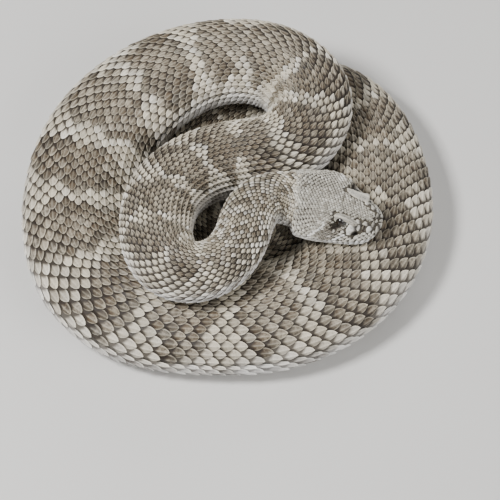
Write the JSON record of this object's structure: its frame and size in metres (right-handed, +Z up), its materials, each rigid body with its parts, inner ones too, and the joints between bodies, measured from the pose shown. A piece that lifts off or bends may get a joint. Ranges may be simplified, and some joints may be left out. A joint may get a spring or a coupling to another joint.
{
  "type": "coiled western diamondback rattlesnake, life-size still model",
  "caption": "Life-size museum model of a western diamondback rattlesnake resting in a coil, with its head on the outer ring.",
  "frame": {"origin": "on the floor, under the middle of the coil's outline", "axes": "+Z up from the floor; +X to the right of the coil as its head's side is seen, the way the snout points; +Y to the coil's back, away from the head's near side"},
  "size_m": [0.2028, 0.1814, 0.0697],
  "materials": {
    "head_skin": "dry, finely scaled, grey-brown with dark specks",
    "body_skin": "dry keeled scales, pale grey-beige with faded brown blotches",
    "tail_skin": "dry keeled scales in black and ash-white rings",
    "eye": "wet gloss, dark bronze with an upright slit pupil",
    "rattle_horn": "dry straw-coloured horn, slightly translucent edges"
  },
  "bodies": {
    "root": {"head": "head_skin", "eye_left": "eye", "eye_right": "eye", "neck": "body_skin", "body_01": "body_skin", "body_02": "body_skin", "body_03": "body_skin", "body_04": "body_skin", "body_05": "body_skin", "body_06": "body_skin", "body_07": "body_skin", "body_08": "body_skin", "body_09": "body_skin", "body_10": "body_skin", "body_11": "body_skin", "body_12": "body_skin", "body_13": "body_skin", "body_14": "body_skin", "body_15": "body_skin", "body_16": "body_skin", "body_17": "body_skin", "body_18": "body_skin", "tail_01": "tail_skin", "tail_02": "tail_skin", "tail_03": "tail_skin", "rattle": "rattle_horn"}
  },
  "joints": []
}
